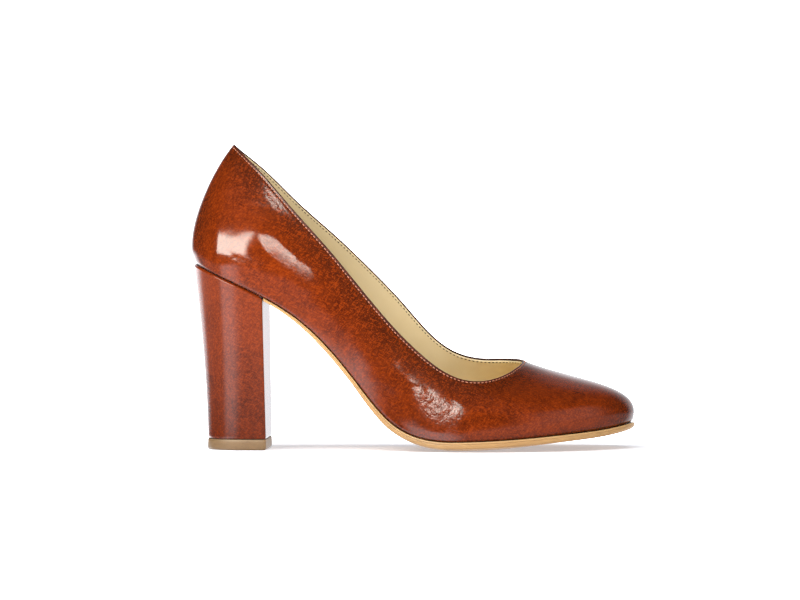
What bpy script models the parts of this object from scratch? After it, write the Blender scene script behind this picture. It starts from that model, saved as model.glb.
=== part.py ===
"""Court shoe for the right foot, on a high block heel: upper, insole, outsole, heel and top lift.

The shoe stands on the floor at z = 0 with its toe along +X, its medial side along +Y and +Z up.
Tables are in millimetres, with x counted from the back of the heel and y from the middle of the width.
"""

import math

import bmesh
import bpy
import numpy as np

MM = 0.001

# Driving dimensions
LENGTH = 212.4        # heel back to the tip of the sole, along the floor
WALL = 1.8            # outer leather and lining together
GAP = 0.3             # between pieces that are cemented together
LASTING_MARGIN = 9.0  # upper leather turned in under the insole
FEATHER_ROUND = 1.3   # roundness of the upper where it turns under
TOPLINE_ROUND = 0.4   # height of the rounded edge of the topline
INSOLE_THICK = 2.2
INSOLE_CLEAR = 0.5    # between the edge of the insole and the turn of the upper
SOLE_EDGE = 1.2       # how far the sole stands out past the feather line at the toe
SOLE_EDGE_WAIST = 0.4
SOLE_ROUND = 0.9      # rounding of the sole's two edges
TREAD_CROWN = 2.2     # how far the middle of the tread lies below its edges
TREAD_X, TREAD_REACH = 138.0, 42.0
LIFT_THICK = 5.2
LIFT_ROUND = 0.5
HEEL_BACK_X, HEEL_FRONT_X = 7.7, 36.9     # foot of the heel, along the floor
HEEL_LATERAL, HEEL_MEDIAL = -17.0, 21.0   # foot of the heel, across
HEEL_CORNER = 2.5     # squareness of the back of the heel's foot, 2 being an ellipse
HEEL_SWEEP = 1.6      # how quickly the heel narrows below the seat
SEAT_PROUD = 0.4      # how far the heel's top stands out past the feather line
BREAST_ROW = 3.36     # row of the section tables where the heel ends and the sole starts

# Feather line, where the upper turns under, and the sole's thickness below it:
# a row for each section from heel back to toe tip
FEATHER_COLUMNS = ("x", "height", "lateral", "medial", "sole")
FEATHER = (
    (1.6, 89.6, 2.0, 2.0, 1.0),
    (5.0, 88.3, -10.6, 14.6, 1.0),
    (15.0, 83.8, -20.2, 24.2, 1.0),
    (30.0, 76.8, -22.2, 26.3, 1.0),
    (46.0, 68.0, -22.1, 24.0, 1.4),
    (62.0, 55.1, -21.9, 21.0, 1.9),
    (79.0, 35.6, -22.7, 19.8, 2.0),
    (97.0, 14.6, -26.8, 21.5, 2.8),
    (116.0, 5.9, -33.0, 26.0, 3.2),
    (135.0, 5.2, -37.2, 31.5, 3.3),
    (154.0, 6.1, -36.4, 35.8, 3.3),
    (172.0, 7.5, -31.6, 36.6, 3.3),
    (189.0, 9.1, -22.6, 33.4, 3.3),
    (202.4, 10.7, -9.8, 25.2, 3.2),
    (211.3, 12.6, 7.5, 7.5, 3.0),
)

# Topline above each section, on the lateral and on the medial side
TOPLINE_COLUMNS = ("lat_x", "lat_y", "lat_z", "med_x", "med_y", "med_z")
TOPLINE = (
    (20.6, 2.0, 146.4, 20.6, 2.0, 146.4),
    (24.6, -6.4, 143.0, 24.3, 10.2, 142.3),
    (35.5, -14.8, 132.8, 35.2, 18.6, 132.3),
    (50.5, -19.6, 116.0, 50.5, 21.6, 117.0),
    (67.0, -21.5, 97.8, 67.5, 22.2, 101.8),
    (82.5, -22.5, 79.1, 84.0, 22.6, 86.0),
    (97.5, -24.0, 61.4, 99.0, 23.0, 70.4),
    (110.5, -26.0, 48.5, 112.0, 23.8, 55.6),
    (122.5, -28.4, 39.3, 123.5, 24.6, 46.5),
    (133.5, -28.6, 34.7, 134.0, 24.6, 43.0),
    (143.0, -25.6, 34.2, 142.5, 23.0, 42.5),
    (150.3, -19.0, 35.9, 149.2, 19.6, 42.7),
    (155.2, -10.4, 38.3, 154.3, 15.2, 42.7),
    (158.0, -2.1, 40.5, 157.6, 10.2, 42.6),
    (158.9, 4.6, 41.7, 158.9, 4.6, 41.7),
)

# Swell of the wall at each section: how far it heads out and up from the feather line,
# and out and down from the topline, with the lean of the wall from upright in degrees
SWELL_COLUMNS = ("lat_out", "med_out", "rise", "flare", "drop", "lean")
SWELL = (
    (12.0, 12.0, 14.0, 5.6, 14.7, 24.0),
    (10.0, 10.0, 14.5, 4.5, 15.0, 25.0),
    (6.4, 7.5, 15.0, 2.0, 15.0, 25.0),
    (4.8, 5.5, 14.5, 1.2, 14.5, 27.0),
    (3.4, 5.0, 12.5, 0.8, 12.5, 34.0),
    (2.6, 5.5, 11.0, 0.8, 11.0, 44.0),
    (2.4, 6.0, 10.0, 1.2, 10.0, 48.0),
    (2.0, 6.5, 10.5, 2.4, 9.5, 36.0),
    (1.2, 7.0, 12.0, 4.0, 9.0, 14.0),
    (1.4, 6.6, 13.0, 5.8, 9.0, 0.0),
    (3.2, 6.6, 15.0, 9.0, 9.5, -3.0),
    (5.8, 6.9, 17.0, 13.0, 10.5, -5.0),
    (8.6, 8.2, 19.0, 18.5, 10.5, -6.0),
    (10.4, 10.4, 19.2, 22.6, 10.2, -8.0),
    (11.0, 11.0, 18.8, 23.8, 10.0, -10.0),
)

# Fineness of the meshes
STEPS_PER_ROW = 4     # around the upper, between two sections
WALL_STEPS = 10       # from feather line to topline
SLAB_STEPS = 3        # along sole, insole and heel, between two sections
SLAB_ACROSS = 8
HEEL_LEVELS = 12

ROWS = len(FEATHER) - 1     # intervals from heel back to toe tip, on one side
AROUND = 2 * ROWS           # intervals once round the shoe


def column(table, names, name):
    return np.array(table, float)[:, names.index(name)]


def round_the_shoe(lateral, medial):
    """One row per station: along the lateral side to the toe, then back along the medial side."""
    return np.concatenate([lateral, medial[-2:0:-1]])


def closed_curve(stations):
    """Smooth closed curve through the stations, as a function of the station number."""
    stations = np.asarray(stations, float)
    count = len(stations)
    one = np.eye(count)
    system = 4 * one + np.roll(one, 1, axis=1) + np.roll(one, -1, axis=1)
    ahead = np.roll(stations, -1, axis=0)
    behind = np.roll(stations, 1, axis=0)
    slopes = np.linalg.solve(system, 3 * (ahead - behind))

    def at(u):
        u = np.asarray(u, float)
        start = np.floor(u).astype(int)
        t = (u - start)[..., None]
        i, j = start % count, (start + 1) % count
        rise = stations[j] - stations[i]
        bend_in = slopes[i] - rise
        bend_out = rise - slopes[j]
        return stations[i] + t * rise + t * (1 - t) * ((1 - t) * bend_in + t * bend_out)

    return at


def feather_stations(side):
    return np.stack([column(FEATHER, FEATHER_COLUMNS, name) for name in ("x", side, "height")], axis=1)


def topline_stations(side):
    return np.stack([column(TOPLINE, TOPLINE_COLUMNS, side + axis) for axis in ("_x", "_y", "_z")], axis=1)


def swell_stations(side):
    names = (side + "_out", "rise", "flare", "drop", "lean")
    return np.stack([column(SWELL, SWELL_COLUMNS, name) for name in names], axis=1)


feather = closed_curve(round_the_shoe(feather_stations("lateral"), feather_stations("medial")))
topline = closed_curve(round_the_shoe(topline_stations("lat"), topline_stations("med")))
swell = closed_curve(round_the_shoe(swell_stations("lat"), swell_stations("med")))


def outward(curve, u):
    """Level unit vectors pointing out of a closed curve."""
    step = 0.01
    along = curve(u + step) - curve(u - step)
    out = np.stack([along[..., 1], -along[..., 0], np.zeros_like(along[..., 0])], axis=-1)
    return out / np.linalg.norm(out, axis=-1, keepdims=True)


def wall(u, v):
    """Outer face of the upper at station u, from the feather line (v = 0) to the topline (v = 1)."""
    foot, top, shape = feather(u), topline(u), swell(u)
    out, rise, flare, drop, lean = (shape[..., k : k + 1] for k in range(5))
    lean = np.radians(lean)
    up = np.concatenate([np.sin(lean), np.zeros_like(lean), np.cos(lean)], axis=-1)
    low = foot + out * outward(feather, u) + rise * up
    high = top + flare * outward(topline, u) - drop * up
    v = np.asarray(v, float)[..., None]
    w = 1 - v
    return w**3 * foot + 3 * w * w * v * low + 3 * w * v * v * high + v**3 * top


def wall_normal(u, v):
    step = 0.005
    around = wall(u + step, v) - wall(u - step, v)
    upward = wall(u, v + step) - wall(u, v - step)
    normal = np.cross(around, upward)
    return normal / np.linalg.norm(normal, axis=-1, keepdims=True)


along_lateral = feather(np.linspace(0, ROWS, 400))
along_medial = feather(AROUND - np.linspace(0, ROWS, 400))


def bottom_height(x, y):
    """Underside of the lasted upper: the side profile, with the middle of the tread sunk below its edges."""
    run, height = along_lateral[:, 0], along_lateral[:, 2]
    back_slope = (height[40] - height[0]) / (run[40] - run[0])
    toe_slope = (height[-1] - height[-40]) / (run[-1] - run[-40])
    level = np.interp(x, run, height)
    level = level + back_slope * np.minimum(x - run[0], 0) + toe_slope * np.maximum(x - run[-1], 0)
    lateral = np.interp(x, run, along_lateral[:, 1])
    medial = np.interp(x, along_medial[:, 0], along_medial[:, 1])
    share = np.clip((y - lateral) / np.maximum(medial - lateral, 1.0), 0, 1)
    crown = TREAD_CROWN * np.exp(-(((x - TREAD_X) / TREAD_REACH) ** 2))
    return level - 4 * share * (1 - share) * crown


def on_bottom(points, lift):
    """The same places in plan, lifted off the underside of the upper by a thickness square to its slope."""
    x, y = points[..., 0], points[..., 1]
    slope = (bottom_height(x + 1, y) - bottom_height(x - 1, y)) / 2
    return np.stack([x, y, bottom_height(x, y) + lift * np.sqrt(1 + slope**2)], axis=-1)


def edge_of_bottom(row, side, reach_out):
    station = np.asarray(row if side == "lateral" else AROUND - row, float)
    return feather(station) + reach_out * outward(feather, station)


def across(row, reach_out, share, lift):
    """A point across the bottom: share runs from the lateral edge (0) to the medial edge (1)."""
    lateral = edge_of_bottom(row, "lateral", reach_out)
    medial = edge_of_bottom(row, "medial", reach_out)
    return on_bottom(lateral + share * (medial - lateral), lift)


def new_material(name, colour, roughness):
    material = bpy.data.materials.new(name)
    material.use_nodes = True
    shader = material.node_tree.nodes["Principled BSDF"]
    shader.inputs["Base Color"].default_value = (*colour, 1.0)
    shader.inputs["Roughness"].default_value = roughness
    shader.inputs["Metallic"].default_value = 0.0
    return material


def wrapped_grid(name, columns, rows, place, material, smooth_angle=35.0):
    """A flat grid laid onto the points place[column][row], welded where its edges meet, and closed."""
    bm = bmesh.new()
    bmesh.ops.create_grid(bm, x_segments=columns, y_segments=rows, size=1.0)
    for vert in bm.verts:
        i = round((vert.co.x + 1) / 2 * columns)
        j = round((vert.co.y + 1) / 2 * rows)
        x, y, z = place[i][j]
        vert.co = ((x - LENGTH / 2) * MM, y * MM, z * MM)
    bmesh.ops.remove_doubles(bm, verts=bm.verts, dist=0.00001)
    bmesh.ops.holes_fill(bm, edges=[edge for edge in bm.edges if edge.is_boundary], sides=0)
    bmesh.ops.recalc_face_normals(bm, faces=bm.faces)
    if bm.calc_volume(signed=True) < 0:
        bmesh.ops.reverse_faces(bm, faces=bm.faces)
    mesh = bpy.data.meshes.new(name)
    bm.to_mesh(mesh)
    bm.free()
    mesh.shade_smooth()
    mesh.set_sharp_from_angle(angle=math.radians(smooth_angle))
    mesh.materials.append(material)
    part = bpy.data.objects.new(name, mesh)
    bpy.context.scene.collection.objects.link(part)
    part.parent = bpy.data.objects["shoe"]
    return part


def build_upper(material):
    """One hollow shell: lasting margin, wall up to the topline, lining down again and margin back."""
    around = np.linspace(0, AROUND, AROUND * STEPS_PER_ROW + 1)
    rings = []

    def margin(inset, lift):
        rings.append(on_bottom(feather(around) - inset * outward(feather, around), lift))

    for inset in (LASTING_MARGIN, LASTING_MARGIN / 2, FEATHER_ROUND):
        margin(inset, 0.0)
    start = 0.03
    heights = start + (1 - start) * np.linspace(0, 1, WALL_STEPS + 1)
    for v in heights:
        rings.append(wall(around, np.full_like(around, v)))
    edge = wall(around, np.ones_like(around)) - WALL / 2 * wall_normal(around, np.full_like(around, 0.99))
    rings.append(edge + np.array([0.0, 0.0, TOPLINE_ROUND]))
    inner_start = 0.12
    for v in np.linspace(1.0, inner_start, WALL_STEPS):
        level = np.full_like(around, v)
        normal = wall_normal(around, np.clip(level, 0, 0.99))
        rings.append(wall(around, level) - WALL * normal)
    for inset in (WALL + FEATHER_ROUND, LASTING_MARGIN / 2 + WALL / 2, LASTING_MARGIN):
        margin(inset, WALL)
    rings.append(rings[0])
    place = np.stack(rings, axis=1)
    return wrapped_grid("upper", len(around) - 1, len(rings) - 1, place, material, 50.0)


def slab(name, rows, section, material):
    """A solid from the back of the shoe forward, with one closed section loop per row."""
    place = [section(row) for row in rows]
    for loop in place:
        loop.append(loop[0])
    return wrapped_grid(name, len(rows) - 1, len(place[0]) - 1, place, material)


def build_insole(material):
    """Board inside the upper, lying on the lasting margin."""
    inset = WALL + FEATHER_ROUND + INSOLE_CLEAR
    base = WALL + GAP

    def section(row):
        shares = np.linspace(0, 1, SLAB_ACROSS + 1)
        low = [across(row, -inset, t, base) for t in shares]
        high = [across(row, -inset, t, base + INSOLE_THICK) for t in reversed(shares)]
        return low + high

    return slab("insole", np.linspace(0, ROWS, ROWS * SLAB_STEPS + 1), section, material)


def sole_thickness(row):
    return np.interp(row, range(ROWS + 1), column(FEATHER, FEATHER_COLUMNS, "sole"))


def sole_edge(row):
    share = np.clip((row - 5.0) / 4.0, 0, 1)
    return SOLE_EDGE_WAIST + (SOLE_EDGE - SOLE_EDGE_WAIST) * share * share * (3 - 2 * share)


def build_outsole(material):
    """Sole from the heel's breast to the toe, with rounded edges and a flat tread that meets the floor."""
    start = BREAST_ROW + 2 * GAP / 16.0
    rows = np.linspace(start, ROWS, (ROWS - 3) * SLAB_STEPS + 1)
    shares = np.linspace(0, 1, SLAB_ACROSS + 1)

    def section(row):
        thick, edge = sole_thickness(row), sole_edge(row)
        top = [across(row, edge - SOLE_ROUND / 2, t, -GAP) for t in shares]
        bottom = [across(row, edge - SOLE_ROUND, t, -GAP - thick) for t in reversed(shares)]
        for point in bottom:
            point[2] = max(point[2], 0.0)
        sides = []
        for t, depths in ((1.0, (0.15, 0.5, 0.8)), (0.0, (0.8, 0.5, 0.15))):
            for depth in depths:
                proud = edge - SOLE_ROUND * (2 * depth - 0.9) ** 2 * 0.35
                sides.append(across(row, proud, t, -GAP - depth * thick))
        return top + sides[:3] + bottom + sides[3:]

    return slab("outsole", rows, section, material)


def heel_foot(share, side):
    """Outline of the heel's foot: share runs from its back (0) to its breast (1)."""
    middle = (HEEL_LATERAL + HEEL_MEDIAL) / 2
    reach = (HEEL_LATERAL if side == "lateral" else HEEL_MEDIAL) - middle
    along = HEEL_BACK_X + share * (HEEL_FRONT_X - HEEL_BACK_X)
    round_end = np.clip(share / 0.72, 0, 1)
    breadth = (1 - (1 - round_end) ** HEEL_CORNER) ** (1 / HEEL_CORNER)
    return np.array([along, middle + reach * breadth])


def build_heel(material):
    """Block heel: its top fits the seat of the upper and its foot is flat, on the top lift."""
    foot_height = LIFT_THICK + GAP

    def outline(row, side, level):
        seat = on_bottom(edge_of_bottom(row, side, SEAT_PROUD), -GAP)
        foot = heel_foot(foot_share(row), side)
        inward = 1 - (1 - level) ** HEEL_SWEEP
        front = row / BREAST_ROW
        blend = inward + (level - inward) * front**4
        x, y = seat[:2] + blend * (foot - seat[:2])
        return np.array([x, y, seat[2] + level * (foot_height - seat[2])])

    def foot_share(row):
        start, here, end = (feather(r)[0] for r in (0.0, row, BREAST_ROW))
        return (here - start) / (end - start)

    def section(row):
        shares = np.linspace(0, 1, SLAB_ACROSS + 1)
        levels = np.linspace(0, 1, HEEL_LEVELS + 1)
        seat_lat, seat_med = outline(row, "lateral", 0.0), outline(row, "medial", 0.0)
        foot_lat, foot_med = outline(row, "lateral", 1.0), outline(row, "medial", 1.0)
        top = [on_bottom(seat_lat + t * (seat_med - seat_lat), -GAP) for t in shares]
        bottom = [foot_med + t * (foot_lat - foot_med) for t in shares]
        down = [outline(row, "medial", level) for level in levels[1:-1]]
        back_up = [outline(row, "lateral", level) for level in levels[-2:0:-1]]
        return top + down + bottom + back_up

    fine = np.linspace(0, 1, 15) ** 1.6 * BREAST_ROW
    return slab("heel", fine, section, material)


def build_top_lift(material):
    """Hard-wearing piece under the heel, flat on the floor, with its lower edge rounded."""

    def section(share):
        loops = []
        middle = (HEEL_LATERAL + HEEL_MEDIAL) / 2

        def ring(inset, height, reverse):
            ends = []
            for side in ("lateral", "medial"):
                x, y = heel_foot(share, side)
                y -= np.sign(y - middle) * inset
                x += inset * (1 - 2 * share)
                ends.append(np.array([x, y, height]))
            steps = np.linspace(0, 1, 5)
            points = [ends[0] + t * (ends[1] - ends[0]) for t in steps]
            return points[::-1] if reverse else points

        loops += ring(0.0, LIFT_THICK, False)
        loops.append(ring(0.0, LIFT_ROUND, False)[-1])
        loops += ring(LIFT_ROUND, 0.0, True)
        loops.append(ring(0.0, LIFT_ROUND, False)[0])
        return loops

    return slab("top_lift", np.linspace(0, 1, 15) ** 1.6, section, material)


for old in list(bpy.data.objects):
    bpy.data.objects.remove(old)
shoe = bpy.data.objects.new("shoe", None)
bpy.context.scene.collection.objects.link(shoe)

build_upper(new_material("polished leather", (0.26, 0.052, 0.014), 0.25))
build_insole(new_material("sock leather", (0.68, 0.54, 0.28), 0.6))
build_outsole(new_material("natural sole", (0.62, 0.36, 0.14), 0.5))
build_heel(new_material("heel leather", (0.24, 0.055, 0.022), 0.35))
build_top_lift(new_material("lift rubber", (0.38, 0.24, 0.11), 0.6))
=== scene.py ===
"""Court shoe for the right foot, in polished brown leather on a high block heel, on a pale studio floor."""

import math

import bmesh
import bpy
import numpy as np
from mathutils import Matrix, Vector, noise


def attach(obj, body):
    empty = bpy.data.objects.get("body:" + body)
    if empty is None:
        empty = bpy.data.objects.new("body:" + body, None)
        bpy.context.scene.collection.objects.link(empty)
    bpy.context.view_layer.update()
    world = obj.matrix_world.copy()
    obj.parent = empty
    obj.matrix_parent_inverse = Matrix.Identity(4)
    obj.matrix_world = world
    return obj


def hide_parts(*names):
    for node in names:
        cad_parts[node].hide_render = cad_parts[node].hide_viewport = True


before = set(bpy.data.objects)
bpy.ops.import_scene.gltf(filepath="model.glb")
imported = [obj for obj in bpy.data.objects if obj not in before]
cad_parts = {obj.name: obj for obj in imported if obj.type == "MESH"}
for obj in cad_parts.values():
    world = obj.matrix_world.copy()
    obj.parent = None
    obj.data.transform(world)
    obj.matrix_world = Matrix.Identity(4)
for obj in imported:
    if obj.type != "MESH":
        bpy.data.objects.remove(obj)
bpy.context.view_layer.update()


# Upper leather
# Vamp and quarters cut as one piece of smooth brown leather, polished to a high gloss. It is pulled over
# the last, turned under at the feather line as a lasting margin, and folded in over the lining all round
# the topline. The last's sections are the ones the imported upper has, in millimetres from the heel's back.

MM = 0.001
HEEL_BACK_TO_MIDDLE = 106.2
LASTING_MARGIN = 9.0
LEATHER = 1.1            # thickness of the outer leather
TURN_UNDER = 1.0         # roundness of the leather at the feather line
FOLD = 0.5               # radius of the folded edge at the topline
STITCH_DOWN = 1.3        # stitch row below the topline
TREAD_CROWN = 2.2        # how far the middle of the tread sinks below its edges
TREAD_X, TREAD_REACH = 138.0, 42.0

# Feather line at each section from heel back to toe tip, with the sole's thickness below it
FEATHER_COLUMNS = ("x", "height", "lateral", "medial", "sole")
FEATHER = (
    (1.6, 89.6, 2.0, 2.0, 1.0),
    (5.0, 88.3, -10.6, 14.6, 1.0),
    (15.0, 83.8, -20.2, 24.2, 1.0),
    (30.0, 76.8, -22.2, 26.3, 1.0),
    (46.0, 68.0, -22.1, 24.0, 1.4),
    (62.0, 55.1, -21.9, 21.0, 1.9),
    (79.0, 35.6, -22.7, 19.8, 2.0),
    (97.0, 14.6, -26.8, 21.5, 2.8),
    (116.0, 5.9, -33.0, 26.0, 3.2),
    (135.0, 5.2, -37.2, 31.5, 3.3),
    (154.0, 6.1, -36.4, 35.8, 3.3),
    (172.0, 7.5, -31.6, 36.6, 3.3),
    (189.0, 9.1, -22.6, 33.4, 3.3),
    (202.4, 10.7, -9.8, 25.2, 3.2),
    (211.3, 12.6, 7.5, 7.5, 3.0),
)

# Topline above each section, on the lateral and on the medial side
TOPLINE_COLUMNS = ("lat_x", "lat_y", "lat_z", "med_x", "med_y", "med_z")
TOPLINE = (
    (20.6, 2.0, 146.4, 20.6, 2.0, 146.4),
    (24.6, -6.4, 143.0, 24.3, 10.2, 142.3),
    (35.5, -14.8, 132.8, 35.2, 18.6, 132.3),
    (50.5, -19.6, 116.0, 50.5, 21.6, 117.0),
    (67.0, -21.5, 97.8, 67.5, 22.2, 101.8),
    (82.5, -22.5, 79.1, 84.0, 22.6, 86.0),
    (97.5, -24.0, 61.4, 99.0, 23.0, 70.4),
    (110.5, -26.0, 48.5, 112.0, 23.8, 55.6),
    (122.5, -28.4, 39.3, 123.5, 24.6, 46.5),
    (133.5, -28.6, 34.7, 134.0, 24.6, 43.0),
    (143.0, -25.6, 34.2, 142.5, 23.0, 42.5),
    (150.3, -19.0, 35.9, 149.2, 19.6, 42.7),
    (155.2, -10.4, 38.3, 154.3, 15.2, 42.7),
    (158.0, -2.1, 40.5, 157.6, 10.2, 42.6),
    (158.9, 4.6, 41.7, 158.9, 4.6, 41.7),
)

# Swell of the wall at each section: how far it heads out and up from the feather line,
# and out and down from the topline, with the lean of the wall from upright in degrees
SWELL_COLUMNS = ("lat_out", "med_out", "rise", "flare", "drop", "lean")
SWELL = (
    (12.0, 12.0, 14.0, 5.6, 14.7, 24.0),
    (10.0, 10.0, 14.5, 4.5, 15.0, 25.0),
    (6.4, 7.5, 15.0, 2.0, 15.0, 25.0),
    (4.8, 5.5, 14.5, 1.2, 14.5, 27.0),
    (3.4, 5.0, 12.5, 0.8, 12.5, 34.0),
    (2.6, 5.5, 11.0, 0.8, 11.0, 44.0),
    (2.4, 6.0, 10.0, 1.2, 10.0, 48.0),
    (2.0, 6.5, 10.5, 2.4, 9.5, 36.0),
    (1.2, 7.0, 12.0, 4.0, 9.0, 14.0),
    (1.4, 6.6, 13.0, 5.8, 9.0, 0.0),
    (3.2, 6.6, 15.0, 9.0, 9.5, -3.0),
    (5.8, 6.9, 17.0, 13.0, 10.5, -5.0),
    (8.6, 8.2, 19.0, 18.5, 10.5, -6.0),
    (10.4, 10.4, 19.2, 22.6, 10.2, -8.0),
    (11.0, 11.0, 18.8, 23.8, 10.0, -10.0),
)

ROWS = len(FEATHER) - 1
AROUND = 2 * ROWS

# Creases and rolls pressed into the leather by lasting and wear, each placed in side view: its side, the x
# and z of its middle, its slope in degrees, its length, half width and depth, and how much it bows. A
# negative depth is a ridge. The broad ridges are the soft rolls at the ball and by the heel stiffener.
CREASES = (
    ("lateral", 45.1, 96.8, -39.5, 34.0, 5.0, -0.15, 0.002),
    ("lateral", 115.5, 14.5, -43.0, 26.0, 9.0, -0.48, 0.0),
    ("lateral", 106.2, 32.4, -48.0, 22.0, 9.0, -0.32, 0.0),
    ("lateral", 137.0, 23.0, -43.0, 14.0, 8.0, -0.28, 0.0),
    ("lateral", 52.4, 83.0, -40.0, 18.0, 6.0, -0.15, 0.0),
    ("lateral", 113.0, 30.5, -14.0, 13.0, 1.5, 0.050, 0.010),
    ("lateral", 112.0, 27.0, -58.0, 8.0, 1.2, 0.045, 0.020),
    ("lateral", 117.5, 28.0, -40.0, 9.0, 1.2, 0.050, -0.015),
    ("lateral", 119.5, 24.5, 24.0, 8.0, 1.2, 0.045, 0.020),
    ("lateral", 115.5, 23.0, -62.0, 9.0, 1.2, 0.050, -0.010),
    ("lateral", 121.0, 21.0, -36.0, 11.0, 1.2, 0.050, 0.015),
    ("lateral", 118.5, 18.5, -50.0, 9.0, 1.3, 0.045, 0.020),
    ("lateral", 125.0, 18.0, 30.0, 7.0, 1.2, 0.040, -0.020),
    ("lateral", 124.5, 14.5, -40.0, 9.0, 1.4, 0.045, 0.010),
    ("lateral", 108.5, 24.0, -66.0, 11.0, 1.5, 0.040, 0.010),
    ("lateral", 128.0, 24.0, -24.0, 9.0, 1.5, 0.035, 0.010),
    ("lateral", 104.0, 33.0, -50.0, 14.0, 2.0, 0.040, 0.006),
    ("lateral", 26.0, 92.0, -12.0, 9.0, 1.7, 0.060, 0.020),
    ("lateral", 33.0, 90.0, 16.0, 10.0, 1.6, 0.050, -0.020),
    ("lateral", 19.0, 96.0, -30.0, 8.0, 1.6, 0.040, 0.010),
    ("lateral", 54.5, 105.5, 34.0, 4.0, 1.2, -0.060, 0.060),
    ("lateral", 30.0, 118.0, -8.0, 22.0, 1.9, 0.035, 0.012),
    ("lateral", 27.0, 123.5, 6.0, 18.0, 1.8, 0.030, 0.014),
    ("lateral", 74.0, 74.0, -52.0, 26.0, 2.4, 0.030, 0.002),
    ("medial", 46.0, 97.0, -39.5, 32.0, 5.0, -0.15, 0.002),
    ("medial", 112.0, 34.0, -18.0, 14.0, 1.5, 0.050, 0.010),
    ("medial", 118.0, 29.0, -44.0, 11.0, 1.3, 0.050, -0.012),
    ("medial", 122.0, 24.0, 22.0, 9.0, 1.3, 0.045, 0.018),
    ("medial", 115.0, 23.0, -60.0, 10.0, 1.4, 0.045, 0.012),
    ("medial", 88.0, 62.0, -48.0, 22.0, 2.2, 0.040, 0.003),
    ("medial", 27.0, 93.0, -14.0, 10.0, 1.7, 0.050, 0.016),
    ("medial", 30.0, 119.0, -6.0, 20.0, 1.9, 0.035, 0.010),
)

# Places where the grain breaks into fine wrinkles: side, x and z in side view, slope in degrees, reach along
# and across the slope, and how strong they are
WRINKLED = (
    ("lateral", 119.0, 20.0, -42.0, 12.0, 6.5, 0.85),
    ("lateral", 127.5, 15.0, -40.0, 5.0, 5.0, 0.75),
    ("lateral", 29.0, 90.5, 0.0, 9.0, 3.0, 0.4),
    ("lateral", 42.0, 121.0, -47.0, 9.0, 3.0, 0.5),
    ("lateral", 28.0, 122.0, 0.0, 14.0, 7.0, 0.2),
    ("medial", 118.0, 26.0, -48.0, 14.0, 8.0, 1.0),
)

# Fine upright pleats that the leather pulls into in front of the heel stiffener, given in the same way
PLEATED = (
    ("lateral", 42.5, 97.4, -44.0, 8.4, 3.7, 1.1),
    ("lateral", 48.4, 92.2, -41.0, 9.5, 3.8, 1.0),
    ("lateral", 55.4, 86.4, -40.0, 8.0, 4.3, 0.9),
    ("medial", 46.0, 96.0, -40.0, 16.0, 3.6, 0.7),
)


def column(table, names, name):
    return np.array([row[names.index(name)] for row in table], float)


def round_the_shoe(lateral, medial):
    """One row per station: along the lateral side to the toe, then back along the medial side."""
    return np.concatenate([lateral, medial[-2:0:-1]])


def closed_curve(stations):
    """Smooth closed curve through the stations, as a function of the station number."""
    count = len(stations)
    one = np.eye(count)
    system = 4 * one + np.roll(one, 1, axis=1) + np.roll(one, -1, axis=1)
    slopes = np.linalg.solve(system, 3 * (np.roll(stations, -1, axis=0) - np.roll(stations, 1, axis=0)))

    def at(u):
        u = np.asarray(u, float)
        start = np.floor(u).astype(int)
        t = (u - start)[..., None]
        i, j = start % count, (start + 1) % count
        rise = stations[j] - stations[i]
        bend_in = slopes[i] - rise
        bend_out = rise - slopes[j]
        return stations[i] + t * rise + t * (1 - t) * ((1 - t) * bend_in + t * bend_out)

    return at


def feather_stations(side):
    return np.stack([column(FEATHER, FEATHER_COLUMNS, name) for name in ("x", side, "height")], axis=1)


def topline_stations(side):
    return np.stack([column(TOPLINE, TOPLINE_COLUMNS, side + axis) for axis in ("_x", "_y", "_z")], axis=1)


def swell_stations(side):
    names = (side + "_out", "rise", "flare", "drop", "lean")
    return np.stack([column(SWELL, SWELL_COLUMNS, name) for name in names], axis=1)


feather = closed_curve(round_the_shoe(feather_stations("lateral"), feather_stations("medial")))
topline = closed_curve(round_the_shoe(topline_stations("lat"), topline_stations("med")))
swell = closed_curve(round_the_shoe(swell_stations("lat"), swell_stations("med")))


def unit(vectors):
    return vectors / np.linalg.norm(vectors, axis=-1, keepdims=True)


def outward(curve, u):
    """Level unit vectors pointing out of a closed curve."""
    step = 0.01
    along = curve(u + step) - curve(u - step)
    return unit(np.stack([along[..., 1], -along[..., 0], np.zeros_like(along[..., 0])], axis=-1))


def wall(u, v):
    """Outer face of the upper at station u, from the feather line (v = 0) to the topline (v = 1)."""
    foot, top, shape = feather(u), topline(u), swell(u)
    out, rise, flare, drop, lean = (shape[..., k : k + 1] for k in range(5))
    lean = np.radians(lean)
    up = np.concatenate([np.sin(lean), np.zeros_like(lean), np.cos(lean)], axis=-1)
    low = foot + out * outward(feather, u) + rise * up
    high = top + flare * outward(topline, u) - drop * up
    v = np.asarray(v, float)[..., None]
    w = 1 - v
    return w**3 * foot + 3 * w * w * v * low + 3 * w * v * v * high + v**3 * top


def wall_normal(u, v):
    step = 0.005
    around = wall(u + step, v) - wall(u - step, v)
    upward = wall(u, v + step) - wall(u, v - step)
    return unit(np.cross(around, upward))


def below_topline(u, distance):
    """Height share v on the wall at a distance in millimetres below the topline."""
    step = 0.02
    climb = np.linalg.norm(wall(u, np.ones_like(u)) - wall(u, np.full_like(u, 1 - step)), axis=-1) / step
    return 1 - distance / climb


# Points along the feather line, and how many of them give its slope at either end
FOOT_POINTS, END_POINTS = 400, 40
along_lateral = feather(np.linspace(0, ROWS, FOOT_POINTS))
along_medial = feather(AROUND - np.linspace(0, ROWS, FOOT_POINTS))


def hump(offset, reach):
    """A smooth hump of height 1 where the offset is 0, falling away over this reach."""
    return np.exp(-((offset / reach) ** 2))


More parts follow.
